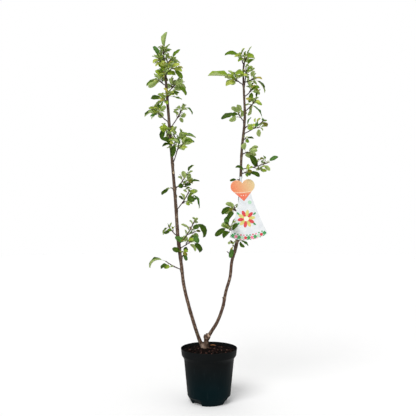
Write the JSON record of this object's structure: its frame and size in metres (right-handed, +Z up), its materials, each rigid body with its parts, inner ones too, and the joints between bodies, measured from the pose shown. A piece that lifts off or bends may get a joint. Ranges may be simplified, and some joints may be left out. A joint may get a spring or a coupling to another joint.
{
  "type": "potted apple tree",
  "caption": "Young apple tree grown as a narrow fork of upright arms with short leafy spurs, in a round tapered nursery pot of compost, with a hanging paper tag.",
  "frame": {"origin": "middle of the flat underside of the pot, at floor level", "axes": "+Z up, +X to the viewer's right across the two arms, the front with the tag faces -Y"},
  "size_m": [0.5873, 0.245, 1.6075],
  "materials": {
    "pot_plastic": "satin black, slightly dusty",
    "compost": "moist bark compost",
    "bark": "grey-brown young bark",
    "leaf": "matte to satin leaves on brown spurs",
    "tag_white": "coated card and clear-white strap",
    "tag_orange": "coated card"
  },
  "bodies": {
    "root": {"compost": "compost", "left_arm_lower": "bark", "left_arm_upper": "bark", "left_leader": "leaf", "left_spray_01": "leaf", "left_spray_02": "leaf", "left_spray_03": "leaf", "left_spray_04": "leaf", "left_spray_05": "leaf", "left_spray_06": "leaf", "left_spray_07": "leaf", "left_spray_08": "leaf", "left_spray_09": "leaf", "left_spray_10": "leaf", "left_spray_11": "leaf", "left_spray_12": "leaf", "left_spray_13": "leaf", "left_spray_14": "leaf", "left_spray_15": "leaf", "left_spray_16": "leaf", "left_spray_17": "leaf", "left_spray_18": "leaf", "left_spray_19": "leaf", "left_spray_20": "leaf", "left_spray_21": "leaf", "left_spray_22": "leaf", "left_spray_23": "leaf", "pot": "pot_plastic", "right_arm_lower": "bark", "right_arm_upper": "bark", "right_leader": "leaf", "right_spray_01": "leaf", "right_spray_02": "leaf", "right_spray_03": "leaf", "right_spray_04": "leaf", "right_spray_05": "leaf", "right_spray_06": "leaf", "right_spray_07": "leaf", "right_spray_08": "leaf", "right_spray_09": "leaf", "right_spray_10": "leaf", "right_spray_11": "leaf", "right_spray_12": "leaf", "right_spray_13": "leaf", "right_spray_14": "leaf", "right_spray_15": "leaf", "right_spray_16": "leaf", "right_spray_17": "leaf", "right_spray_18": "leaf", "right_spray_19": "leaf", "tag_heart": "tag_orange", "tag_skirt": "tag_white", "tag_strap": "tag_white", "trunk": "bark"}
  },
  "joints": []
}
